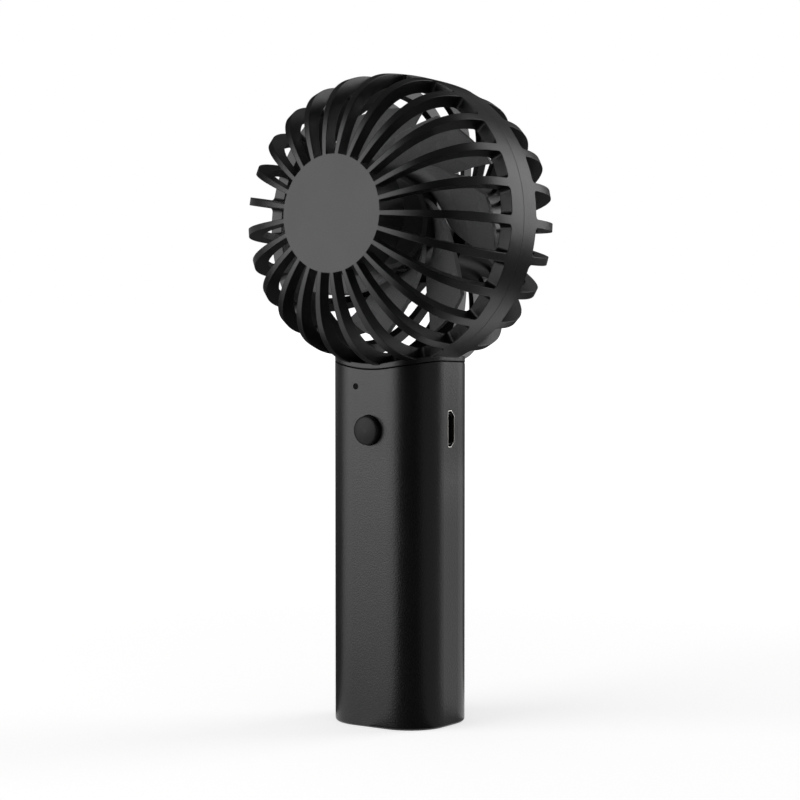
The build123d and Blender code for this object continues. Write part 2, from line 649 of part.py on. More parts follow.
# ---------------------------------------------------------------- head: the impeller
with BuildPart() as impeller:
    hub_inner = HUB_RADIUS - HUB_WALL
    hub_inside = HUB_FRONT - HUB_WALL
    boss_end = HUB_BACK + HUB_BOSS_SETBACK
    bore = SHAFT_RADIUS + PRESS_GAP
    hub_section = [
        (0, HUB_FRONT), (HUB_RADIUS - HUB_EDGE, HUB_FRONT), (HUB_RADIUS, HUB_FRONT - HUB_EDGE),
        (HUB_RADIUS, HUB_BACK), (hub_inner, HUB_BACK), (hub_inner, hub_inside),
        (HUB_BOSS_RADIUS, hub_inside), (HUB_BOSS_RADIUS, boss_end), (bore, boss_end),
        (bore, SHAFT_FRONT + SEAM), (0, SHAFT_FRONT + SEAM),
    ]
    revolve(head_outline(*hub_section), axis=FAN_AXIS)
    with Locations(HEAD.location):
        with PolarLocations(0, BLADE_COUNT):
            add(blade())
save(impeller, "impeller")

# ---------------------------------------------------------------- head: the motor
with BuildPart() as motor_can:
    can_inner = MOTOR_RADIUS - MOTOR_WALL
    bush_seat = BUSH_RADIUS + PRESS_GAP
    boss_front = MOTOR_FRONT + MOTOR_BOSS_HEIGHT
    can_section = [
        (bush_seat, boss_front), (MOTOR_BOSS_RADIUS, boss_front), (MOTOR_BOSS_RADIUS, MOTOR_FRONT),
        (MOTOR_RADIUS - MOTOR_EDGE, MOTOR_FRONT), (MOTOR_RADIUS, MOTOR_FRONT - MOTOR_EDGE),
        (MOTOR_RADIUS, MOTOR_BACK), (can_inner, MOTOR_BACK),
        (can_inner, MOTOR_FRONT - MOTOR_WALL), (bush_seat, MOTOR_FRONT - MOTOR_WALL),
    ]
    revolve(head_outline(*can_section), axis=FAN_AXIS)
    with BuildSketch(HEAD.offset(MOTOR_FRONT)):
        with PolarLocations(MOTOR_SCREW_CIRCLE, 2):
            Circle(SCREW_RADIUS + PRESS_GAP)
    extrude(amount=-MOTOR_WALL, mode=Mode.SUBTRACT)
save(motor_can, "motor_can")

with BuildPart() as motor_end_bell:
    bell_outer = MOTOR_RADIUS - MOTOR_WALL - SEAM
    bell_front = MOTOR_BACK + BELL_THICKNESS
    boss_back = MOTOR_BACK - MOTOR_BACK_BOSS
    boss_outer = BUSH_RADIUS + MOTOR_BACK_BOSS_WALL
    bell_section = [
        (bush_seat, bell_front), (bell_outer, bell_front), (bell_outer, MOTOR_BACK),
        (boss_outer, MOTOR_BACK), (boss_outer, boss_back), (bush_seat, boss_back),
    ]
    revolve(head_outline(*bell_section), axis=FAN_AXIS)
    with BuildSketch(HEAD.offset(MOTOR_BACK)):
        with Locations(*TERMINAL_PLACES):
            Rectangle(TERMINAL_WIDTH + SEAM, TERMINAL_SHEET + SEAM)
    extrude(amount=BELL_THICKNESS, mode=Mode.SUBTRACT)
save(motor_end_bell, "motor_end_bell")

with BuildPart() as motor_bushes:
    for front in (boss_front, bell_front):
        bush_section = [
            (SHAFT_RADIUS + SHAFT_FIT, front), (BUSH_RADIUS, front),
            (BUSH_RADIUS, front - BUSH_LENGTH), (SHAFT_RADIUS + SHAFT_FIT, front - BUSH_LENGTH),
        ]
        revolve(head_outline(*bush_section), axis=FAN_AXIS)
save(motor_bushes, "motor_bushes")

with BuildPart() as motor_magnets:
    magnet_outer = MOTOR_RADIUS - MOTOR_WALL - PRESS_GAP
    magnet_front = MOTOR_FRONT - MOTOR_WALL - MAGNET_SETBACK
    with BuildSketch(HEAD.offset(magnet_front)):
        Circle(magnet_outer)
        Circle(magnet_outer - MAGNET_THICKNESS, mode=Mode.SUBTRACT)
        half_gap = radians((180 - MAGNET_ANGLE) / 2)
        reach = MOTOR_RADIUS
        with BuildLine():
            Polyline(
                (reach * cos(half_gap), reach * sin(half_gap)), (0, 0),
                (reach * cos(half_gap), -reach * sin(half_gap)),
                (reach * 1.5, 0), close=True,
            )
        make_face(mode=Mode.SUBTRACT)
        with BuildLine():
            Polyline(
                (-reach * cos(half_gap), reach * sin(half_gap)), (0, 0),
                (-reach * cos(half_gap), -reach * sin(half_gap)),
                (-reach * 1.5, 0), close=True,
            )
        make_face(mode=Mode.SUBTRACT)
    extrude(amount=-MAGNET_LENGTH)
save(motor_magnets, "motor_magnets")

with BuildPart() as motor_brushes:
    with BuildSketch(HEAD.offset(TERMINAL_BACK)):
        with Locations(*TERMINAL_PLACES):
            Rectangle(TERMINAL_WIDTH, TERMINAL_SHEET)
    extrude(amount=COMMUTATOR_FRONT - TERMINAL_BACK)
    with BuildSketch(HEAD.offset(COMMUTATOR_BACK + BRUSH_SETBACK)):
        for x, y in TERMINAL_PLACES:
            with Locations((x / 2, y)):
                Rectangle(abs(x) + TERMINAL_WIDTH, TERMINAL_SHEET)
            with Locations((0, (y + (COMMUTATOR_RADIUS + BRUSH_GAP) * (1 if y > 0 else -1)) / 2)):
                Rectangle(BRUSH_WIDTH, abs(y) - COMMUTATOR_RADIUS - BRUSH_GAP)
    extrude(amount=BRUSH_LENGTH)
save(motor_brushes, "motor_brushes")

with BuildPart() as armature_core:
    with BuildSketch(HEAD.offset(CORE_BACK)):
        Circle(CORE_RADIUS)
        Circle(CORE_RADIUS - POLE_SHOE, mode=Mode.SUBTRACT)
        with PolarLocations(CORE_RADIUS, POLE_COUNT, start_angle=180 / POLE_COUNT):
            Rectangle(CORE_RADIUS, POLE_GAP, mode=Mode.SUBTRACT)
        with PolarLocations(CORE_RADIUS / 2, POLE_COUNT):
            Rectangle(CORE_RADIUS - POLE_SHOE / 2, POLE_WIDTH)
        Circle(SHAFT_RADIUS + CORE_HUB_WALL)
        Circle(SHAFT_RADIUS + PRESS_GAP, mode=Mode.SUBTRACT)
    extrude(amount=CORE_LENGTH)
save(armature_core, "armature_core")

with BuildPart() as armature_coils:
    coil_inner = SHAFT_RADIUS + COIL_HUB_ROOM
    coil_outer = CORE_RADIUS - POLE_SHOE - COIL_SHOE_ROOM
    with Locations(HEAD.offset((CORE_FRONT + CORE_BACK) / 2).location):
        with PolarLocations((coil_inner + coil_outer) / 2, POLE_COUNT):
            Box(coil_outer - coil_inner, COIL_WIDTH, CORE_LENGTH + 2 * COIL_OVERHANG)
            Box(
                2 * (coil_outer - coil_inner), POLE_WIDTH + 2 * PRESS_GAP,
                CORE_LENGTH + 2 * PRESS_GAP, mode=Mode.SUBTRACT,
            )
save(armature_coils, "armature_coils")

with BuildPart() as commutator:
    commutator_section = [
        (SHAFT_RADIUS + PRESS_GAP, COMMUTATOR_FRONT), (COMMUTATOR_RADIUS, COMMUTATOR_FRONT),
        (COMMUTATOR_RADIUS, COMMUTATOR_BACK), (SHAFT_RADIUS + PRESS_GAP, COMMUTATOR_BACK),
    ]
    revolve(head_outline(*commutator_section), axis=FAN_AXIS)
save(commutator, "commutator")

with BuildPart() as motor_shaft:
    with BuildSketch(HEAD.offset(SHAFT_BACK)):
        Circle(SHAFT_RADIUS)
    extrude(amount=SHAFT_FRONT - SHAFT_BACK)
save(motor_shaft, "motor_shaft")

with BuildPart() as motor_screws:
    with Locations(HEAD.offset(CUP_FRONT).location):
        with PolarLocations(MOTOR_SCREW_CIRCLE, 2):
            add(screw(CUP_FRONT_WALL + MOTOR_WALL + MOTOR_SCREW_REACH))
save(motor_screws, "motor_screws")

# ---------------------------------------------------------------- neck and base screws
with BuildPart() as neck_screws:
    for x in (-NECK_SCREW_X, NECK_SCREW_X):
        head_seat = Plane(origin=(x, PLATE_BACK, NECK_SCREW_HEIGHT), x_dir=(1, 0, 0), z_dir=(0, 1, 0))
        with Locations(head_seat.location):
            add(screw(PLATE_BACK + NECK_BOSS_DEPTH - SCREW_TIP_ROOM))
save(neck_screws, "neck_screws")

with BuildPart() as base_screws:
    for x in (-RAIL_X, RAIL_X):
        head_seat = Plane(origin=(x, 0, SCREW_SEAT), x_dir=(1, 0, 0), z_dir=(0, 0, -1))
        with Locations(head_seat.location):
            add(screw(BASE_SCREW_LENGTH))
save(base_screws, "base_screws")

# ---------------------------------------------------------------- inside the handle
with BuildPart() as carrier:
    plate_half = SIDE_INSIDE - PLATE_INSET
    leg_inner = RAIL_INNER_X + PLATE_LEG_INSET
    ear_outer = NECK_SCREW_X + NECK_BOSS_RADIUS
    ear_inner = NECK_SCREW_X - NECK_BOSS_RADIUS
    ear_top = NECK_SCREW_HEIGHT + NECK_BOSS_RADIUS
    leg_bottom = RAIL_TOP - RAIL_LAP
    plate_bottom = BOARD_BOTTOM + PLATE_LIFT
    half_plate = [
        (0, plate_bottom), (leg_inner, plate_bottom), (leg_inner, leg_bottom),
        (plate_half, leg_bottom), (plate_half, NECK_BOTTOM - PLATE_STEP),
        (ear_outer, NECK_BOTTOM - PLATE_STEP), (ear_outer, ear_top), (ear_inner, ear_top),
        (ear_inner, NECK_BOTTOM + PLATE_STEP), (0, NECK_BOTTOM + PLATE_STEP),
    ]
    with BuildSketch(Plane.XY.offset(CARRIER_BOTTOM)):
        add(handle_outline(HANDLE_WALL + SLIDE_FIT))
        Circle(TAB_WIDTH / 2, mode=Mode.SUBTRACT)
    extrude(amount=CARRIER_FLOOR)
    with BuildSketch(Plane.XY.offset(CARRIER_BOTTOM)):
        add(handle_outline(HANDLE_WALL + SLIDE_FIT))
        Rectangle(HANDLE_WIDTH, 2 * PLATE_BACK, mode=Mode.INTERSECT)
        Circle(CELL_RADIUS + CELL_FIT, mode=Mode.SUBTRACT)
        Rectangle(2 * RAIL_INNER_X, HANDLE_DEPTH, mode=Mode.SUBTRACT)
    extrude(amount=RAIL_TOP - CARRIER_BOTTOM)
    with BuildSketch(Plane.XZ.offset(-PLATE_BACK)):
        with BuildLine():
            Polyline(*half_plate, close=True)
        make_face()
        mirror(about=Plane.YZ)
    extrude(amount=PLATE_THICKNESS)
    with BuildSketch(Plane.XZ.offset(-PLATE_FRONT)):
        with Locations(*POST_PLACES):
            Circle(POST_RADIUS)
    extrude(amount=PLATE_FRONT - BOARD_BACK - SEAM)
    with BuildSketch(Plane.XZ.offset(-PLATE_BACK)):
        with Locations(*POST_PLACES):
            Circle(SCREW_RADIUS + PRESS_GAP)
        with neck_screw_places():
            Circle(SCREW_RADIUS + SLIDE_FIT)
    extrude(amount=PLATE_BACK - BOARD_BACK, mode=Mode.SUBTRACT)
    with BuildSketch(Plane.XY.offset(CARRIER_BOTTOM)):
        with Locations((-RAIL_X, 0), (RAIL_X, 0)):
            Circle(SCREW_RADIUS + PRESS_GAP)
    extrude(amount=BASE_SCREW_LENGTH + SCREW_TIP_ROOM, mode=Mode.SUBTRACT)
save(carrier, "carrier")

with BuildPart() as battery_cell:
    groove = CELL_TOP - CELL_GROOVE_DROP
    shoulder = CELL_TOP - CELL_CAP_HEIGHT
    with BuildSketch(Plane.XZ):
        with BuildLine():
            Polyline(
                (0, CELL_BOTTOM), (CELL_RADIUS - CELL_EDGE, CELL_BOTTOM),
                (CELL_RADIUS, CELL_BOTTOM + CELL_EDGE), (CELL_RADIUS, groove - CELL_GROOVE_HALF),
                (CELL_RADIUS - CELL_GROOVE, groove), (CELL_RADIUS, groove + CELL_GROOVE_HALF),
                (CELL_RADIUS, shoulder - CELL_EDGE), (CELL_RADIUS - CELL_EDGE, shoulder),
                (CELL_CAP_RADIUS, shoulder), (CELL_CAP_RADIUS, CELL_TOP), (0, CELL_TOP),
                close=True,
            )
        make_face()
    revolve(axis=Axis.Z)
save(battery_cell, "battery_cell")

with BuildPart() as battery_tabs:
    with Locations((0, 0, CELL_TOP)):
        Box(
            TAB_WIDTH, TAB_TOP_LENGTH, TAB_THICKNESS,
            align=(Align.CENTER, Align.CENTER, Align.MIN),
        )
    tab_front = -TAB_WIDTH / 2
    with Locations((0, tab_front, CELL_BOTTOM)):
        Box(
            TAB_WIDTH, -FRONT_INSIDE - LEAD_RADIUS + TAB_THICKNESS - tab_front, TAB_THICKNESS,
            align=(Align.CENTER, Align.MIN, Align.MAX),
        )
save(battery_tabs, "battery_tabs")

with BuildPart() as circuit_board:
    with BuildSketch(Plane.XZ.offset(-BOARD_BACK)):
        with BuildLine():
            Polyline(
                (-BOARD_HALF_WIDTH, BOARD_BOTTOM), (BOARD_HALF_WIDTH, BOARD_BOTTOM),
                (BOARD_HALF_WIDTH, BOARD_SHOULDER), (LED_OFFSET + LED_TAB_REACH, BOARD_SHOULDER),
                (LED_OFFSET + LED_TAB_REACH, BOARD_TOP), (LED_OFFSET - LED_TAB_HALF, BOARD_TOP),
                (LED_OFFSET - LED_TAB_HALF, BOARD_SHOULDER), (-BOARD_HALF_WIDTH, BOARD_SHOULDER),
                close=True,
            )
        make_face()
        with Locations(*POST_PLACES):
            Circle(SCREW_RADIUS + SLIDE_FIT, mode=Mode.SUBTRACT)
    extrude(amount=BOARD_THICKNESS)
save(circuit_board, "circuit_board")

with BuildPart() as board_screws:
    for x, z in POST_PLACES:
        head_seat = Plane(origin=(x, BOARD_FRONT, z), x_dir=(1, 0, 0), z_dir=(0, -1, 0))
        with Locations(head_seat.location):
            add(screw(BOARD_SCREW_LENGTH))
save(board_screws, "board_screws")

with BuildPart() as usb_socket_shell:
    extrude(socket_outline(0), amount=-SOCKET_REACH)
    extrude(socket_outline(SOCKET_SHEET), amount=-SOCKET_REACH, mode=Mode.SUBTRACT)
save(usb_socket_shell, "usb_socket_shell")

with BuildPart() as usb_socket_tongue:
    extrude(socket_outline(SOCKET_SHEET + PRESS_GAP, SOCKET_REACH), amount=TONGUE_BASE)
    with BuildSketch(SOCKET_MOUTH.offset(-SOCKET_REACH)):
        Rectangle(TONGUE_THICKNESS, SOCKET_LENGTH - 2 * TONGUE_SIDE_ROOM)
    extrude(amount=SOCKET_REACH - TONGUE_SETBACK)
save(usb_socket_tongue, "usb_socket_tongue")

with BuildPart() as switch_body:
    with BuildSketch(Plane.XZ.offset(-BOARD_FRONT)):
        with Locations((0, BUTTON_HEIGHT)):
            Rectangle(SWITCH_SIZE, SWITCH_SIZE)
    extrude(amount=SWITCH_DEPTH)
    with BuildSketch(Plane.XZ.offset(-SWITCH_FACE)):
        with Locations((0, BUTTON_HEIGHT)):
            Circle(PLUNGER_RADIUS + SLIDE_FIT)
    extrude(amount=-SWITCH_DEPTH / 2, mode=Mode.SUBTRACT)
save(switch_body, "switch_body")

with BuildPart() as switch_plunger:
    with BuildSketch(Plane.XZ.offset(-PLUNGER_TIP)):
        with Locations((0, BUTTON_HEIGHT)):
            Circle(PLUNGER_RADIUS)
    extrude(amount=BUTTON_TRAVEL + PLUNGER_ROOM - PLUNGER_PROUD - SWITCH_DEPTH / 2)
save(switch_plunger, "switch_plunger")

with BuildPart() as button_cap:
    cap_face = HANDLE_DEPTH / 2 + BUTTON_PROUD
    flange_face = -FRONT_INSIDE - SLIDE_FIT
    flange_back = flange_face - BUTTON_FLANGE
    flange_rim = BUTTON_RADIUS + BUTTON_FLANGE_RIM
    with BuildSketch(Plane(origin=(0, 0, BUTTON_HEIGHT), x_dir=(0, 1, 0), z_dir=(1, 0, 0))):
        with BuildLine():
            Line((-cap_face, 0), (PLUNGER_TIP, 0))
            Polyline(
                (PLUNGER_TIP, 0), (PLUNGER_TIP, BUTTON_STEM_RADIUS),
                (-flange_back, BUTTON_STEM_RADIUS), (-flange_back, flange_rim),
                (-flange_face, flange_rim), (-flange_face, BUTTON_RADIUS),
                (-cap_face + BUTTON_DOME, BUTTON_RADIUS),
            )
            RadiusArc(
                (-cap_face + BUTTON_DOME, BUTTON_RADIUS), (-cap_face, 0),
                -cap_radius(BUTTON_RADIUS, BUTTON_DOME),
            )
        make_face()
    revolve(axis=Axis((0, 0, BUTTON_HEIGHT), (0, 1, 0)))
    fillet(button_cap.edges().filter_by(Plane.XZ).sort_by(Axis.Y)[0], BUTTON_EDGE)
save(button_cap, "button_cap")

# ---------------------------------------------------------------- light and board pieces
with BuildPart() as status_led:
    with Locations((LED_OFFSET, BOARD_FRONT, LED_HEIGHT)):
        Box(LED_WIDTH, LED_DEPTH, LED_TALL, align=(Align.CENTER, Align.MAX, Align.CENTER))
save(status_led, "status_led")

with BuildPart() as light_pipe:
    with BuildSketch(FRONT_FACE.offset(-SLIDE_FIT)):
        with Locations((LED_OFFSET, LED_HEIGHT)):
            Circle(LED_HOLE_RADIUS - SEAM)
    extrude(amount=-HANDLE_DEPTH / 2 + SLIDE_FIT - BOARD_FRONT + LED_DEPTH + SEAM)
save(light_pipe, "light_pipe")

with BuildPart() as board_chips:
    for x, above_edge, wide, tall, deep in BOARD_CHIPS:
        with Locations((x, BOARD_BACK, BOARD_BOTTOM + above_edge)):
            Box(wide, deep, tall, align=(Align.CENTER, Align.MIN, Align.CENTER))
save(board_chips, "board_chips")

with BuildPart() as board_inductor:
    with BuildSketch(Plane.XZ.offset(-BOARD_BACK)):
        with Locations((INDUCTOR_PLACE[0], BOARD_BOTTOM + INDUCTOR_PLACE[1])):
            RectangleRounded(INDUCTOR_SIZE, INDUCTOR_SIZE, INDUCTOR_CORNER)
    extrude(amount=-INDUCTOR_DEPTH)
save(board_inductor, "board_inductor")

# ---------------------------------------------------------------- leads
motor_leads = []
for side, (x, y) in zip((-1, 1), TERMINAL_PLACES):
    aside = side * LEAD_SPREAD
    cavity = TERMINAL_BACK - 2 * LEAD_RADIUS
    entry = wire_place(HEAD_RADIUS, aside, LEAD_ENTRY_REACH)
    route = [
        HEAD.from_local_coords(Vector(x, y, TERMINAL_BACK)),
        HEAD.from_local_coords(Vector(x, y, cavity)),
        wire_place(MOTOR_SCREW_CIRCLE, aside, cavity),
    ]
    for angle in LEAD_ANGLES:
        radius, reach = dome_point(angle, -(TROUGH_DEPTH + WIRE_COVER) / 2)
        route.append(wire_place(radius, aside, -reach))
    route += [
        (entry.X, entry.Y, BOARD_TOP - LEAD_PAD_DROP),
        (entry.X, BOARD_BACK, BOARD_TOP - LEAD_PAD_DROP),
    ]
    motor_leads.append(lead(route, LEAD_BENDS))
with BuildPart() as motor_lead_red:
    add(motor_leads[0])
save(motor_lead_red, "motor_lead_red")

with BuildPart() as motor_lead_black:
    add(motor_leads[1])
save(motor_lead_black, "motor_lead_black")

red_top = BOARD_BOTTOM + RED_PAD_LIFT
with BuildPart() as battery_lead_red:
    add(lead(
        [(RED_LEAD_X, RED_LEAD_Y, CELL_TOP + TAB_THICKNESS), (RED_LEAD_X, RED_LEAD_Y, red_top),
         (RED_LEAD_X, BOARD_BACK, red_top)],
        RED_LEAD_BEND,
    ))
save(battery_lead_red, "battery_lead_red")

with BuildPart() as battery_lead_black:
    behind_cell = -FRONT_INSIDE - LEAD_RADIUS - LEAD_WALL_ROOM
    black_top = BOARD_BOTTOM + BLACK_PAD_LIFT
    route = [
        (BLACK_TAB_X, behind_cell, CELL_BOTTOM), (BLACK_TAB_X, behind_cell, CELL_TOP - CELL_LENGTH / 2),
        (BLACK_LEAD_X, behind_cell, CELL_TOP - CELL_LENGTH / 8),
        (BLACK_LEAD_X, behind_cell, black_top - LEAD_DIP), (BLACK_LEAD_X, BLACK_LEAD_Y, black_top),
        (BLACK_LEAD_X, BOARD_BACK, black_top),
    ]
    add(lead(route, BLACK_LEAD_BENDS))
save(battery_lead_black, "battery_lead_black")
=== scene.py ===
"""Looks of a black handheld fan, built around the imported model.

The fan stands on the flat end of its own handle. All lengths are in metres and all azimuths in degrees,
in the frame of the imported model: the front faces -Y, the socket is on the +X side, and Z is up.
"""

import json
import math

import bpy
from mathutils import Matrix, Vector


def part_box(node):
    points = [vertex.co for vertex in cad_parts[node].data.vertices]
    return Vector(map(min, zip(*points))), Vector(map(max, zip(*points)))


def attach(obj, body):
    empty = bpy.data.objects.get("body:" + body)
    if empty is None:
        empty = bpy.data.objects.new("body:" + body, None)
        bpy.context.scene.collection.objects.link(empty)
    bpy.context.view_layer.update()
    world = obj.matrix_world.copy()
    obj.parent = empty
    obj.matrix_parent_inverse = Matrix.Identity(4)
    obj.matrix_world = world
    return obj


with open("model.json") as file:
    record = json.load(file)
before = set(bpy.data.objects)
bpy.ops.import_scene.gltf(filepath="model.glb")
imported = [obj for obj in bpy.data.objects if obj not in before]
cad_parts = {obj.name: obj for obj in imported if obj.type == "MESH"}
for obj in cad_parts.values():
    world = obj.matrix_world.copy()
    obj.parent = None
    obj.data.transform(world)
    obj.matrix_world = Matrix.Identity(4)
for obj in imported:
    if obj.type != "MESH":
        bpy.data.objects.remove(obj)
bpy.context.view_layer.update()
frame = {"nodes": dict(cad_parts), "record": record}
nodes = frame["nodes"]

MM = 0.001
WHITE = (1, 1, 1, 1)


# ---------------------------------------------------------------- places and nodes

def around(azimuth, distance, height):
    """A place seen from the fan: azimuth in degrees, 0 in front and 90 on the socket's side."""
    turn = math.radians(azimuth)
    return Vector((distance * math.sin(turn), -distance * math.cos(turn), height))


def facing(place, target):
    """The turn that points an object's -Z axis from its place to a target."""
    return (target - place).to_track_quat("-Z", "Y").to_euler()


def new_material(name):
    """A new material, with its node tree and its main shader."""
    made = bpy.data.materials.new(name)
    made.use_nodes = True
    tree = made.node_tree
    return made, tree, tree.nodes["Principled BSDF"]


def new_operation(tree, kind, operation):
    """A new math or vector math node, set to one operation."""
    node = tree.nodes.new(kind)
    node.operation = operation
    return node


# ---------------------------------------------------------------- camera and studio

CAMERA_AZIMUTH = 35
CAMERA_DISTANCE = 606.5 * MM
CAMERA_HEIGHT = 113.2 * MM
AIM_HEIGHT = 78.55 * MM
FOCAL_LENGTH = 112.16
SENSOR_WIDTH = 36

FAN_MIDDLE = Vector((0, 0, 90 * MM))
SOFTBOX_DISTANCE = 0.85
ROOM_FILL = 0.25

FLOOR_SIZE = 8.0
FLOOR_NEAR = 0.12
FLOOR_FAR = 0.9
FLOOR_GLOW_NEAR = 0.59
FLOOR_WHITE = (0.9, 0.9, 0.9, 1)

CARD_BLACK = (0.004, 0.004, 0.004, 1)
CARD_REACH = 1.1
CARD_TOP = 1.6
CARD_LIFT = 0.5 * MM
HANDLE_CLEAR = 12 * MM
STRIP_REACH = 100 * MM
STRIP_TOP = 55 * MM


def add_camera():
    place = around(CAMERA_AZIMUTH, CAMERA_DISTANCE, CAMERA_HEIGHT)
    bpy.ops.object.camera_add(location=place, rotation=facing(place, Vector((0, 0, AIM_HEIGHT))))
    camera = bpy.context.object
    camera.name = "studio_camera"
    camera.data.sensor_width = SENSOR_WIDTH
    camera.data.lens = FOCAL_LENGTH
    camera.data.clip_start = 0.01
    bpy.context.scene.camera = camera


def add_softbox(name, azimuth, height, width, tall, power):
    """A rectangular lamp that faces the middle of the fan."""
    place = around(azimuth, SOFTBOX_DISTANCE, height)
    bpy.ops.object.light_add(type="AREA", location=place, rotation=facing(place, FAN_MIDDLE))
    lamp = bpy.context.object
    lamp.name = name
    lamp.data.shape = "RECTANGLE"
    lamp.data.size = width
    lamp.data.size_y = tall
    lamp.data.energy = power


def ray_kinds(tree):
    """1 for rays that should see the white background: camera, glossy and transmission rays."""
    light_path = tree.nodes.new("ShaderNodeLightPath")
    first = new_operation(tree, "ShaderNodeMath", "MAXIMUM")
    second = new_operation(tree, "ShaderNodeMath", "MAXIMUM")
    tree.links.new(light_path.outputs["Is Camera Ray"], first.inputs[0])
    tree.links.new(light_path.outputs["Is Glossy Ray"], first.inputs[1])
    tree.links.new(first.outputs[0], second.inputs[0])
    tree.links.new(light_path.outputs["Is Transmission Ray"], second.inputs[1])
    return second.outputs[0]


def add_room():
    """A white surround for what is seen and mirrored, and a plain fill for the light it sheds."""
    world = bpy.data.worlds.new("white_room")
    bpy.context.scene.world = world
    world.use_nodes = True
    tree = world.node_tree
    tree.nodes.clear()
    fill = tree.nodes.new("ShaderNodeBackground")
    fill.inputs["Color"].default_value = WHITE
    fill.inputs["Strength"].default_value = ROOM_FILL
    seen = tree.nodes.new("ShaderNodeBackground")
    seen.inputs["Color"].default_value = WHITE
    seen.inputs["Strength"].default_value = 1.0
    either = tree.nodes.new("ShaderNodeMixShader")
    output = tree.nodes.new("ShaderNodeOutputWorld")
    tree.links.new(ray_kinds(tree), either.inputs[0])
    tree.links.new(fill.outputs[0], either.inputs[1])
    tree.links.new(seen.outputs[0], either.inputs[2])
    tree.links.new(either.outputs[0], output.inputs["Surface"])


def add_floor():
    """A white floor: lit and shadowed near the fan, and fading into the white surround further out."""
    bpy.ops.mesh.primitive_plane_add(size=FLOOR_SIZE, location=(0, 0, 0))
    floor = bpy.context.object
    floor.name = "floor"
    made, tree, shader = new_material("white_floor")
    shader.inputs["Base Color"].default_value = FLOOR_WHITE
    shader.inputs["Roughness"].default_value = 0.9
    shader.inputs["Specular IOR Level"].default_value = 0.0
    place = tree.nodes.new("ShaderNodeTexCoord")
    reach = new_operation(tree, "ShaderNodeVectorMath", "LENGTH")
    fade = tree.nodes.new("ShaderNodeMapRange")
    fade.interpolation_type = "SMOOTHSTEP"
    fade.inputs["From Min"].default_value = FLOOR_NEAR
    fade.inputs["From Max"].default_value = FLOOR_FAR
    fade.inputs["To Min"].default_value = FLOOR_GLOW_NEAR
    fade.inputs["To Max"].default_value = 1.0
    level = new_operation(tree, "ShaderNodeMath", "MULTIPLY")
    glow = tree.nodes.new("ShaderNodeEmission")
    both = tree.nodes.new("ShaderNodeAddShader")
    tree.links.new(place.outputs["Object"], reach.inputs[0])
    tree.links.new(reach.outputs["Value"], fade.inputs["Value"])
    tree.links.new(fade.outputs["Result"], level.inputs[0])
    tree.links.new(ray_kinds(tree), level.inputs[1])
    tree.links.new(level.outputs[0], glow.inputs["Strength"])
    tree.links.new(shader.outputs[0], both.inputs[0])
    tree.links.new(glow.outputs[0], both.inputs[1])
    tree.links.new(both.outputs[0], tree.nodes["Material Output"].inputs["Surface"])
    floor.data.materials.append(made)


def add_card(name, azimuths, near, far, shade, steps=10):
    """A curved card that only reflections see, so that black plastic has its dark and its pale sides.

    It runs between two azimuths, and from a near to a far edge: each a distance and a height. Its shade
    is how pale it looks, from 0 for black to 1 for white.
    """
    bpy.ops.mesh.primitive_grid_add(x_subdivisions=steps, y_subdivisions=1, size=1)
    card = bpy.context.object
    card.name = name
    for point in card.data.vertices:
        azimuth = azimuths[0] + (point.co.x + 0.5) * (azimuths[1] - azimuths[0])
        distance, height = far if point.co.y > 0 else near
        point.co = around(azimuth, distance, height)
    made, _, shader = new_material(name + "_felt")
    shader.inputs["Base Color"].default_value = CARD_BLACK
    shader.inputs["Specular IOR Level"].default_value = 0.0
    shader.inputs["Emission Color"].default_value = WHITE
    shader.inputs["Emission Strength"].default_value = shade
    card.data.materials.append(made)
    card.visible_camera = False
    card.visible_diffuse = False
    card.visible_transmission = False
    card.visible_shadow = False


def add_upright_card(name, azimuths, shade, low=0.0, high=CARD_TOP):
    """A card that stands round the fan, at the edge of the studio."""
    add_card(name, azimuths, (CARD_REACH, low), (CARD_REACH, high), shade)


def add_floor_card(name, azimuths, shade, near=HANDLE_CLEAR, far=CARD_REACH, lift=CARD_LIFT):
    """A card that lies on the floor, between two distances from the middle of the handle."""
    add_card(name, azimuths, (near, lift), (far, lift), shade)


add_camera()
add_room()
add_floor()
add_softbox("softbox_left", azimuth=-32, height=0.36, width=0.8, tall=0.8, power=3.5)
add_softbox("softbox_right", azimuth=148, height=0.5, width=0.5, tall=1.0, power=2.0)
add_upright_card("card_front_right", (2, 62), shade=0.0)
add_upright_card("card_right", (62, 128), shade=0.2)
add_upright_card("card_back", (172, 205), shade=0.15)
add_upright_card("card_back_left", (205, 290), shade=0.02, low=0.25)
add_upright_card("card_back_left_low", (205, 290), shade=0.25, high=0.25)
add_card("card_above", (0, 360), near=(1 * MM, 1.0), far=(1.2, 0.8), shade=0.1, steps=36)
add_floor_card("card_floor_front_right", (0, 68), shade=0.03)
add_floor_card("card_floor_right", (68, 120), shade=0.28)
add_floor_card("card_floor_window_near", (120, 172), shade=0.85, far=STRIP_REACH)
add_card(
    "card_low_strip",
    (124, 168),
    near=(STRIP_REACH, CARD_LIFT),
    far=(STRIP_REACH, STRIP_TOP),
    shade=0.85,
)
add_floor_card("card_floor_window_far", (120, 172), shade=0.1, near=STRIP_REACH, lift=0.6 * MM)
add_floor_card("card_floor_back", (172, 290), shade=0.05)
add_floor_card("card_floor_left", (290, 360), shade=0.75, far=STRIP_REACH)
bpy.context.scene.view_settings.view_transform = "Standard"


# ---------------------------------------------------------------- finishes

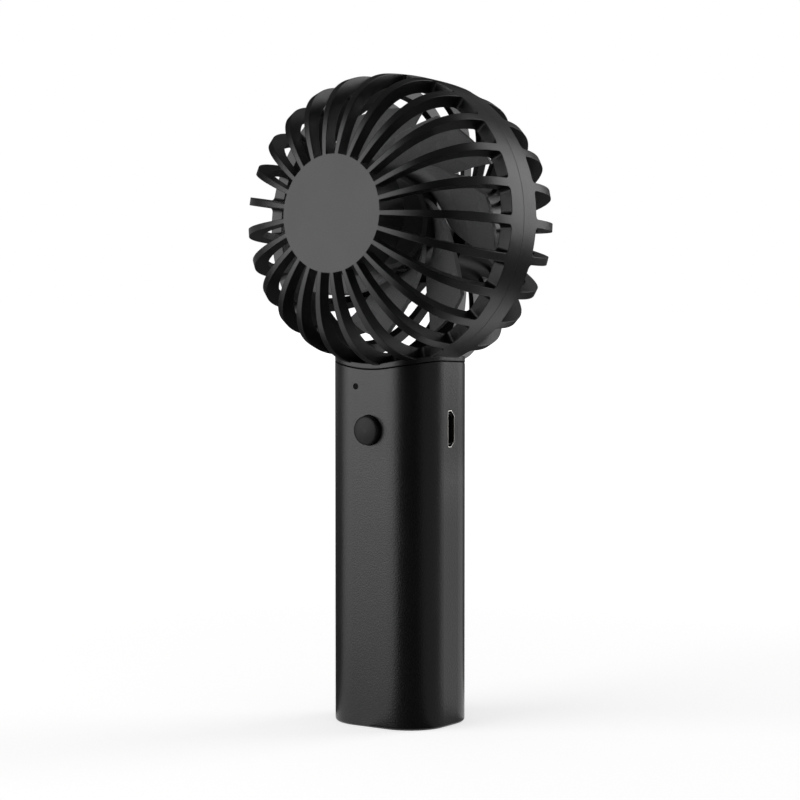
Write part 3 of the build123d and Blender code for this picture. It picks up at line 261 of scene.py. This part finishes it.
BLACK = (0.006, 0.006, 0.0065)
# Painted light and painted shade on the one impeller moulding: its blades are lightened to grey and its
# hub is darkened to near black.
BLADE_PAINTED_LIGHT_GREY = (0.24, 0.24, 0.246)
HUB_PAINTED_SHADE = (0.03, 0.03, 0.031)
JOINTS = {joint["name"]: joint for joint in frame["record"]["behaviour"]["joints"]}
AXLE = JOINTS["impeller_spin"]
AXLE_PLACE = AXLE["pos_m"]
AXLE_AXIS = AXLE["axis"]
# Distances from the axle over which the hub's painted shade gives way to the blades' painted light.
HUB_REACH = 11.8 * MM
BLADE_REACH = 14.3 * MM

NOISE_LOW = 0.3
NOISE_HIGH = 0.7
EDGE_SAMPLES = 6
BROAD_GRAIN = 14 * MM
PLASTIC_SHEEN = 0.03
METAL_SHEEN = 0.05
METAL_EDGE = 0.06 * MM
MARK_DEPTH = 0.002 * MM
PEEL_GRAIN = 0.5 * MM
PEEL_DEPTH = 0.01 * MM
CLOUD_GRAIN = 0.8 * MM


def noise(tree, grain, detail=2.0, stretch=(1, 1, 1)):
    """Noise in the object's own coordinates, with features about one grain across."""
    place = tree.nodes.new("ShaderNodeTexCoord")
    mapping = tree.nodes.new("ShaderNodeMapping")
    mapping.inputs["Scale"].default_value = stretch
    texture = tree.nodes.new("ShaderNodeTexNoise")
    texture.inputs["Scale"].default_value = 1 / grain
    texture.inputs["Detail"].default_value = detail
    tree.links.new(place.outputs["Object"], mapping.inputs["Vector"])
    tree.links.new(mapping.outputs["Vector"], texture.inputs["Vector"])
    return texture.outputs["Fac"]


def spread(tree, value, low, high):
    """Noise drawn out between two values."""
    mapped = tree.nodes.new("ShaderNodeMapRange")
    mapped.inputs["From Min"].default_value = NOISE_LOW
    mapped.inputs["From Max"].default_value = NOISE_HIGH
    mapped.inputs["To Min"].default_value = low
    mapped.inputs["To Max"].default_value = high
    tree.links.new(value, mapped.inputs["Value"])
    return mapped.outputs["Result"]


def mixed(tree, factor, first, second):
    """A colour between two colours, or between a colour made by other nodes and a plain one."""
    mix = tree.nodes.new("ShaderNodeMix")
    mix.data_type = "RGBA"
    tree.links.new(factor, mix.inputs[0])
    for socket, colour in ((mix.inputs[6], first), (mix.inputs[7], second)):
        if isinstance(colour, tuple):
            socket.default_value = (*colour, 1)
        else:
            tree.links.new(colour, socket)
    return mix.outputs[2]


def colour_by(tree, shader, pattern, colour, darkest, lightest=1.0):
    """Colours a shader with shades of one colour that follow a pattern."""
    dark = tuple(darkest * c for c in colour)
    light = tuple(lightest * c for c in colour)
    tree.links.new(mixed(tree, spread(tree, pattern, 0, 1), dark, light), shader.inputs["Base Color"])


def roughen_by(tree, shader, pattern, roughness, sheen):
    """Roughens a shader by a little more or less than its roughness, after a pattern."""
    changing = spread(tree, pattern, roughness - sheen, roughness + sheen)
    tree.links.new(changing, shader.inputs["Roughness"])


def soft_edges(tree, radius):
    """The surface direction with every edge rounded off a little, as a mould leaves it."""
    rounded = tree.nodes.new("ShaderNodeBevel")
    rounded.samples = EDGE_SAMPLES
    rounded.inputs["Radius"].default_value = radius
    return rounded.outputs["Normal"]


def bumped(tree, height, depth, base=None):
    """The surface direction over small bumps, on top of a base direction where there is one."""
    bump = tree.nodes.new("ShaderNodeBump")
    bump.inputs["Distance"].default_value = depth
    bump.inputs["Strength"].default_value = 1.0
    tree.links.new(height, bump.inputs["Height"])
    if base is not None:
        tree.links.new(base, bump.inputs["Normal"])
    return bump.outputs["Normal"]


def moulded_plastic(
    name, colour, roughness, grain=0.28 * MM, depth=0.012 * MM, specular=0.5, edge=0.12 * MM
):
    """Moulded plastic from a spark-eroded tool: an even grain, and broad faint changes of sheen.

    Its edges look rounded off to the given radius.
    """
    made, tree, shader = new_material(name)
    fine = noise(tree, grain, detail=3)
    broad = noise(tree, BROAD_GRAIN, detail=3)
    colour_by(tree, shader, fine, colour, darkest=0.86, lightest=1.16)
    roughen_by(tree, shader, broad, roughness, PLASTIC_SHEEN)
    shader.inputs["Specular IOR Level"].default_value = specular
    normal = bumped(tree, fine, depth, soft_edges(tree, edge))
    tree.links.new(normal, shader.inputs["Normal"])
    return made


def impeller_plastic(name, roughness):
    """The impeller's plastic, one moulding: painted shade makes the hub near the axle almost black, and
    painted light makes the blades a lighter satin grey.
    """
    made = moulded_plastic(name, BLADE_PAINTED_LIGHT_GREY, roughness, edge=0.2 * MM)
    tree = made.node_tree
    shader = tree.nodes["Principled BSDF"]
    blades = shader.inputs["Base Color"].links[0].from_socket
    place = tree.nodes.new("ShaderNodeTexCoord")
    middle = new_operation(tree, "ShaderNodeVectorMath", "SUBTRACT")
    middle.inputs[1].default_value = AXLE_PLACE
    across = new_operation(tree, "ShaderNodeVectorMath", "CROSS_PRODUCT")
    across.inputs[1].default_value = AXLE_AXIS
    reach = new_operation(tree, "ShaderNodeVectorMath", "LENGTH")
    ramp = tree.nodes.new("ShaderNodeMapRange")
    ramp.interpolation_type = "SMOOTHSTEP"
    ramp.inputs["From Min"].default_value = HUB_REACH
    ramp.inputs["From Max"].default_value = BLADE_REACH
    tree.links.new(place.outputs["Object"], middle.inputs[0])
    tree.links.new(middle.outputs["Vector"], across.inputs[0])
    tree.links.new(across.outputs["Vector"], reach.inputs[0])
    tree.links.new(reach.outputs["Value"], ramp.inputs["Value"])
    # Painted shade and painted light: the colour runs from near black on the hub to a lighter grey on
    # the blades, by distance from the axle.
    tree.links.new(mixed(tree, ramp.outputs["Result"], HUB_PAINTED_SHADE, blades), shader.inputs["Base Color"])
    return made


def metal(name, colour, roughness, grain=0.05 * MM, stretch=(1, 1, 1)):
    """Bare or plated metal, with fine drawing or turning marks along its stretched grain."""
    made, tree, shader = new_material(name)
    marks = noise(tree, grain, stretch=stretch)
    colour_by(tree, shader, marks, colour, darkest=0.88)
    roughen_by(tree, shader, marks, roughness, METAL_SHEEN)
    shader.inputs["Metallic"].default_value = 1.0
    normal = bumped(tree, marks, MARK_DEPTH, soft_edges(tree, METAL_EDGE))
    tree.links.new(normal, shader.inputs["Normal"])
    return made


def glossy_sleeve(name, colour, roughness=0.3):
    """Thin plastic sleeve or wire insulation: smooth, with a little orange peel."""
    made, tree, shader = new_material(name)
    peel = noise(tree, PEEL_GRAIN, detail=1)
    colour_by(tree, shader, peel, colour, darkest=0.92)
    shader.inputs["Roughness"].default_value = roughness
    tree.links.new(bumped(tree, peel, PEEL_DEPTH), shader.inputs["Normal"])
    return made


def clear_resin(name, colour, roughness, clarity=0.85, specular=0.5):
    """Clear or smoked resin, a little cloudy. Its clarity is the share of light that passes through."""
    made, tree, shader = new_material(name)
    cloud = noise(tree, CLOUD_GRAIN)
    colour_by(tree, shader, cloud, colour, darkest=0.9)
    shader.inputs["Roughness"].default_value = roughness
    shader.inputs["Specular IOR Level"].default_value = specular
    shader.inputs["Transmission Weight"].default_value = clarity
    return made


# The socket's shell steel is darkened to near black as painted shade: it stands for the shade deep in
# the slot.
SHELL_PAINTED_SHADE_STEEL = metal("socket_shell_painted_shade", (0.06, 0.06, 0.065), 0.45, stretch=(1, 0.05, 1))
FINISHES = {
    "handle_plastic": moulded_plastic(
        "satin_black_handle", BLACK, 0.3, grain=0.38 * MM, depth=0.042 * MM
    ),
    "cage_plastic": moulded_plastic(
        "satin_black_cage", BLACK, 0.3, grain=0.24 * MM, depth=0.035 * MM, edge=0.3 * MM
    ),
    # The impeller's finish holds painted shade on its hub and painted light on its blades.
    "impeller_plastic": impeller_plastic("impeller_painted_shade_and_light", 0.28),
    "button_plastic": moulded_plastic(
        "rubber_black_button", BLACK, 0.42, depth=0.006 * MM, specular=0.22, edge=0.9 * MM
    ),
    "inner_plastic": moulded_plastic("inner_plastic_grey", (0.05, 0.05, 0.055), 0.5),
    "chip_resin": moulded_plastic("chip_resin_black", (0.012, 0.012, 0.012), 0.55, grain=0.1 * MM),
    "ferrite": moulded_plastic("ferrite_grey", (0.04, 0.04, 0.042), 0.6, grain=0.15 * MM),
    "motor_steel": metal("zinc_plated_steel", (0.62, 0.62, 0.6), 0.35, stretch=(1, 0.05, 1)),
    "bright_steel": metal("ground_steel", (0.75, 0.75, 0.74), 0.2, stretch=(1, 0.05, 1)),
    "core_steel": metal(
        "lamination_steel", (0.35, 0.35, 0.36), 0.5, grain=0.35 * MM, stretch=(0.02, 1, 0.02)
    ),
    "screw_steel": metal("black_zinc_screw", (0.12, 0.12, 0.125), 0.35),
    "bronze": metal("sintered_bronze", (0.5, 0.32, 0.14), 0.5, grain=0.1 * MM),
    "contact_brass": metal("contact_brass_bright", (0.75, 0.53, 0.2), 0.25),
    "copper_wire": metal(
        "enamelled_copper", (0.72, 0.27, 0.12), 0.3, grain=0.2 * MM, stretch=(1, 0.1, 1)
    ),
    "cell_sleeve": glossy_sleeve("cell_sleeve_blue", (0.05, 0.16, 0.34)),
    "nickel": metal("nickel_plate", (0.8, 0.78, 0.74), 0.22, stretch=(1, 1, 0.05)),
    "board_laminate": glossy_sleeve("board_lacquer_green", (0.02, 0.14, 0.05), roughness=0.35),
    "led_resin": clear_resin("led_resin_clear", (0.9, 0.95, 1.0), 0.15),
    "clear_plastic": clear_resin(
        "light_pipe_smoked", (0.004, 0.004, 0.005), 0.6, clarity=0.12, specular=0.03
    ),
    "red_lead": glossy_sleeve("red_insulation", (0.5, 0.02, 0.015)),
    "black_lead": glossy_sleeve("black_insulation", (0.012, 0.012, 0.012)),
}


def dress_nodes():
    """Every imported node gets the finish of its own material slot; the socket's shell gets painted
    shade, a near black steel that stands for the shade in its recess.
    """
    for piece in nodes.values():
        for holder in piece.material_slots:
            slot = holder.material.name.split(".")[0]
            holder.material = FINISHES[slot]
    # Painted shade: the socket's shell gets the darkened steel.
    for holder in nodes["usb_socket_shell"].material_slots:
        holder.material = SHELL_PAINTED_SHADE_STEEL


dress_nodes()


# ---------------------------------------------------------------- socket contacts and rim

CONTACT_COUNT = 5
CONTACT_PITCH = 0.65 * MM
CONTACT_LENGTH = 2.6 * MM
CONTACT_WIDTH = 0.36 * MM
CONTACT_THICKNESS = 0.1 * MM
CONTACT_SETBACK = 0.3 * MM
CONTACT_SUNK = 0.03 * MM
CONTACT_CUTS = 5
CONTACT_EDGE = 0.025 * MM
TIP_START = 0.3 * CONTACT_LENGTH
TIP_LENGTH = 0.2 * CONTACT_LENGTH
TIP_DROP = 0.5 * CONTACT_THICKNESS
TONGUE_THICKNESS = 0.6 * MM
SLOT_LENGTH = 8.85 * MM
SLOT_WIDTH = 2.9 * MM
SLOT_CHAMFER = 1.3 * MM
SLOT_FILLET = 0.6 * MM
RIM_WIDTH = 0.16 * MM
RIM_DEPTH = 0.3 * MM
RIM_PROUD = 0.03 * MM
RIM_EDGE = 0.03 * MM
FILLET_STEPS = 4
NEARLY = 0.01 * MM
SMOOTH_ANGLE = math.radians(35)


def pick_only(chosen):
    bpy.ops.object.select_all(action="DESELECT")
    for piece in chosen:
        piece.select_set(True)
    bpy.context.view_layer.objects.active = chosen[0]


def round_edges(piece, radius):
    """Rounds every sharp edge of the active piece."""
    rounding = piece.modifiers.new("rounded_edges", "BEVEL")
    rounding.width = radius
    rounding.segments = 2
    bpy.ops.object.modifier_apply(modifier=rounding.name)


def settle(piece, finish):
    """Puts the picked piece's place in its mesh, smooths its faces and gives it its finish."""
    bpy.ops.object.transform_apply(location=True, rotation=True, scale=True)
    bpy.ops.object.shade_smooth_by_angle(angle=SMOOTH_ANGLE)
    piece.data.materials.append(FINISHES[finish])


def add_contact(middle):
    """One contact strip, its free end bent down like a ski tip and its edges rounded."""
    bpy.ops.object.select_all(action="DESELECT")
    bpy.ops.mesh.primitive_cube_add(size=1, location=middle)
    contact = bpy.context.object
    contact.scale = (CONTACT_LENGTH, CONTACT_THICKNESS, CONTACT_WIDTH)
    bpy.ops.object.transform_apply(location=False, rotation=False, scale=True)
    bpy.ops.object.mode_set(mode="EDIT")
    bpy.ops.mesh.select_all(action="SELECT")
    bpy.ops.mesh.subdivide(number_cuts=CONTACT_CUTS)
    bpy.ops.object.mode_set(mode="OBJECT")
    for point in contact.data.vertices:
        past = max(0.0, point.co.x - TIP_START) / TIP_LENGTH
        point.co.y += TIP_DROP * past ** 2
    round_edges(contact, CONTACT_EDGE)
    return contact


def add_socket_contacts():
    """Five contact strips side by side on the front face of the socket's tongue."""
    low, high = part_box("usb_socket_tongue")
    x = high[0] - CONTACT_SETBACK - CONTACT_LENGTH / 2
    y = -TONGUE_THICKNESS / 2 - CONTACT_THICKNESS / 2 + CONTACT_SUNK
    z = (low[2] + high[2]) / 2
    strips = []
    for step in range(CONTACT_COUNT):
        shift = (step - (CONTACT_COUNT - 1) / 2) * CONTACT_PITCH
        strips.append(add_contact((x, y, z + shift)))
    pick_only(strips)
    bpy.ops.object.join()
    contacts = bpy.context.object
    contacts.name = "socket_contacts"
    settle(contacts, "contact_brass")
    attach(contacts, "frame")


def round_corners(piece, near_board, size, segments):
    """Cuts or rounds the two corners of the flat outline that are on one side of it."""
    bpy.ops.object.mode_set(mode="EDIT")
    bpy.ops.mesh.select_mode(type="VERT")
    bpy.ops.mesh.select_all(action="DESELECT")
    bpy.ops.object.mode_set(mode="OBJECT")
    for point in piece.data.vertices:
        at_corner = abs(abs(point.co.z) - SLOT_LENGTH / 2) < NEARLY
        on_side = point.co.y < 0 if near_board else point.co.y > 0
        point.select = at_corner and on_side
    bpy.ops.object.mode_set(mode="EDIT")
    bpy.ops.mesh.bevel(offset=size, segments=segments, affect="VERTICES")
    bpy.ops.object.mode_set(mode="OBJECT")


def add_socket_rim():
    """A thin plated rim pressed into the mouth of the socket's slot."""
    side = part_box("handle_shell")[1][0]
    low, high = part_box("usb_socket_shell")
    bpy.ops.object.select_all(action="DESELECT")
    bpy.ops.mesh.primitive_plane_add(size=1, location=(0, 0, 0), rotation=(0, math.radians(90), 0))
    rim = bpy.context.object
    rim.name = "socket_rim"
    rim.scale = (SLOT_LENGTH, SLOT_WIDTH, 1)
    bpy.ops.object.transform_apply(location=True, rotation=True, scale=True)
    round_corners(rim, near_board=False, size=SLOT_CHAMFER, segments=1)
    round_corners(rim, near_board=True, size=SLOT_FILLET, segments=FILLET_STEPS)
    bpy.ops.object.mode_set(mode="EDIT")
    bpy.ops.mesh.select_all(action="SELECT")
    bpy.ops.mesh.inset(thickness=RIM_WIDTH)
    bpy.ops.mesh.delete(type="FACE")
    bpy.ops.object.mode_set(mode="OBJECT")
    wall = rim.modifiers.new("wall", "SOLIDIFY")
    wall.thickness = RIM_DEPTH
    wall.offset = -1
    bpy.ops.object.modifier_apply(modifier=wall.name)
    round_edges(rim, RIM_EDGE)
    rim.location = (side + RIM_PROUD, 0, (low[2] + high[2]) / 2)
    settle(rim, "nickel")
    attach(rim, "frame")


add_socket_contacts()
add_socket_rim()
